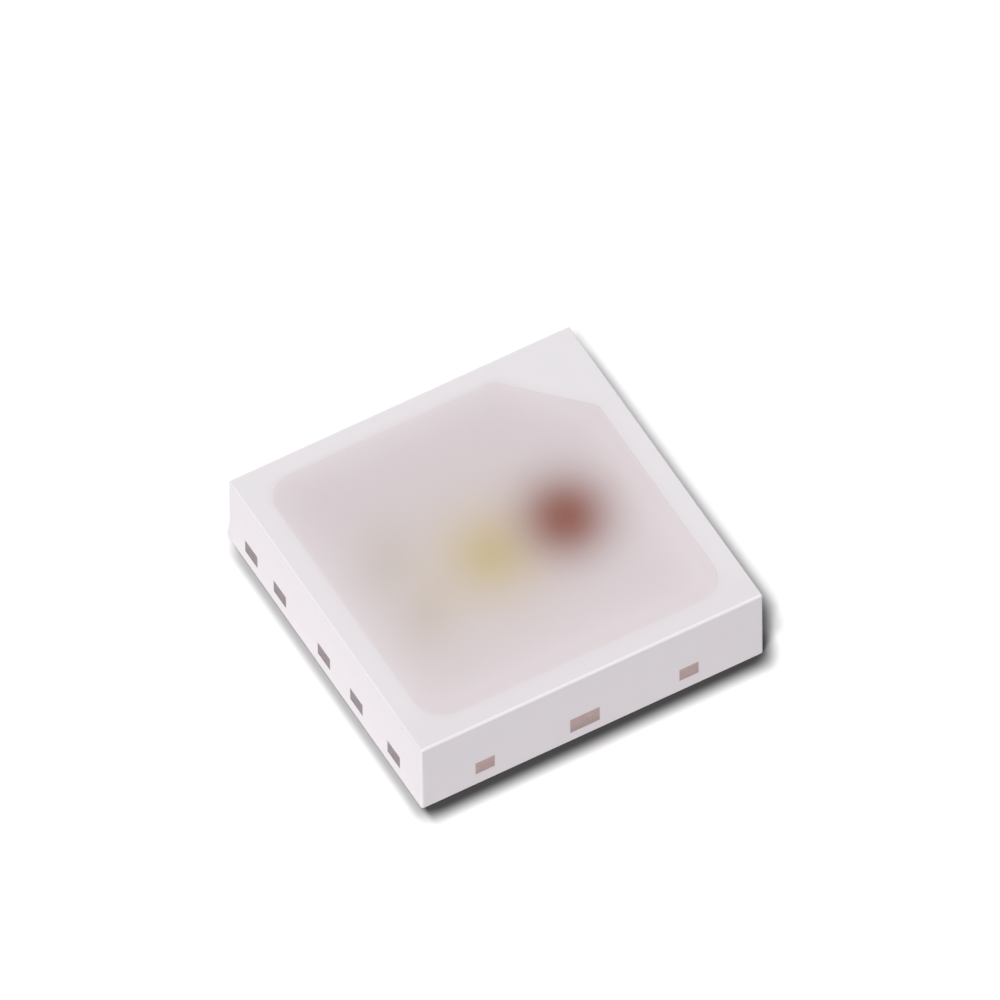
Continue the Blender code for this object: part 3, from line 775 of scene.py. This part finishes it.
def seen_directly(tree):
    """1 for a ray from the camera or from a reflection or refraction, so that both show white."""
    path = tree.nodes.new("ShaderNodeLightPath")
    seen = maths(tree, "MAXIMUM", path.outputs["Is Camera Ray"], path.outputs["Is Glossy Ray"])
    return maths(tree, "MAXIMUM", seen, path.outputs["Is Transmission Ray"])


def contact_shade(tree):
    """Share of light that the floor keeps close to the body.

    A place's distance past each straight edge is its reach that way less the edge's own, times
    the edge's sharpness. The largest, rounded where two edges meet and raised in the notch by its
    depth times e to the minus (distance over width) squared, goes through a smooth step.
    """
    place = millimetre_places(tree)
    x, y, _ = axes(tree, place)
    darkest = between(tree, maths(tree, "MAXIMUM", x, y), SHADOWED_FROM, SHADOWED_PAST, DARKEST,
                      DARKEST_SHADOWED)
    lit = between(tree, x, -LIT_PAST, -LIT_FROM, DARKEST_LIT, 0.0)
    darkest = maths(tree, "MAXIMUM", darkest, lit)
    past = -FAR
    for way, reach, sharpness in SHADE_EDGES.values():
        outward = (math.cos(math.radians(way)), math.sin(math.radians(way)), 0.0)
        along = add(tree, "VectorMath", place, outward, operation="DOT_PRODUCT", output=1)
        beyond = maths(tree, "MULTIPLY", maths(tree, "SUBTRACT", along, reach), sharpness)
        past = maths(tree, "SMOOTH_MAX", past, beyond, SHADE_CORNER)
    away = add(tree, "VectorMath", place, (*SHADE_NOTCH, 0.0), operation="DISTANCE", output=1)
    notch = maths(tree, "MULTIPLY", falloff(tree, away, NOTCH_WIDTH, NOTCH_POWER), NOTCH_DEPTH)
    past = maths(tree, "ADD", past, notch)
    return add(tree, "MapRange", past, -SHADE_BLUR, SHADE_BLUR, darkest, 1.0,
               interpolation_type="SMOOTHSTEP")


def make_floor():
    """A plain pale floor that keeps the shadow, deepened where the body stands on it."""
    mesh = bpy.data.meshes.new("floor")
    corners = FLOOR_HALF * (1 + 1j) * 1j ** np.arange(4)
    mesh.from_pydata(layer(corners, -FLOOR_DROP).tolist(), [], [(0, 1, 2, 3)])
    floor = bpy.data.objects.new("floor", mesh)
    bpy.context.scene.collection.objects.link(floor)
    material = bpy.data.materials.new("floor")
    material.use_nodes = True
    tree = material.node_tree
    tree.nodes.remove(tree.nodes["Principled BSDF"])
    lit = add(tree, "BsdfDiffuse", (FLOOR_COLOUR,) * 3)
    shade = maths(tree, "MULTIPLY", contact_shade(tree), FLOOR_SEEN)
    seen = add(tree, "BsdfDiffuse", add(tree, "CombineXYZ", shade, shade, shade))
    both = add(tree, "MixShader", seen_directly(tree), lit, seen)
    tree.links.new(both, tree.nodes["Material Output"].inputs["Surface"])
    mesh.materials.append(material)


def make_light():
    """Soft studio light: an even room, a key from above the front left and a low fill."""
    world = bpy.data.worlds.new("room")
    bpy.context.scene.world = world
    world.use_nodes = True
    tree = world.node_tree
    room = tree.nodes["Background"]
    room.inputs["Color"].default_value = (1.0, 1.0, 1.0, 1.0)
    room.inputs["Strength"].default_value = ROOM
    white = add(tree, "Background", (1.0, 1.0, 1.0), 1.0)
    both = add(tree, "MixShader", seen_directly(tree), room.outputs[0], white)
    tree.links.new(both, tree.nodes["World Output"].inputs["Surface"])
    for name, (direction, strength, angle) in SUNS.items():
        lamp = bpy.data.lights.new(name, "SUN")
        lamp.energy = strength * math.pi
        lamp.angle = math.radians(angle)
        holder = bpy.data.objects.new(name, lamp)
        holder.visible_glossy = False  # only the even room shines back from the pale surfaces
        holder.rotation_euler = Vector(direction).to_track_quat("Z", "Y").to_euler()
        bpy.context.scene.collection.objects.link(holder)


def make_camera():
    """The camera of the photograph: far off, with a long lens, aimed at the picture's middle."""
    back = Vector((math.sin(AZIMUTH) * math.cos(ELEVATION),
                   -math.cos(AZIMUTH) * math.cos(ELEVATION), math.sin(ELEVATION)))
    level = Vector((math.cos(AZIMUTH), math.sin(AZIMUTH), 0.0))
    upright = back.cross(level)
    right = level * math.cos(ROLL) + upright * math.sin(ROLL)
    up = upright * math.cos(ROLL) - level * math.sin(ROLL)
    middle = PICTURE / 2
    aim = (right * (middle - ORIGIN_PIXEL[0]) + up * (ORIGIN_PIXEL[1] - middle)) / PIXELS_PER_METRE
    data = bpy.data.cameras.new("camera")
    data.sensor_width = SENSOR
    data.lens = PIXELS_PER_METRE * DISTANCE * SENSOR / PICTURE
    data.clip_start, data.clip_end = DISTANCE / 10, DISTANCE * 10
    camera = bpy.data.objects.new("camera", data)
    bpy.context.scene.collection.objects.link(camera)
    turned = Matrix((right, up, back)).transposed().to_4x4()
    camera.matrix_world = Matrix.Translation(aim + back * DISTANCE) @ turned
    bpy.context.scene.camera = camera


make_body(moulded_resin(), sawn_resin())
make_fill(milky_silicone())
finish_cad_nodes()
make_floor()
make_light()
make_camera()
bpy.context.scene.view_settings.view_transform = "Standard"
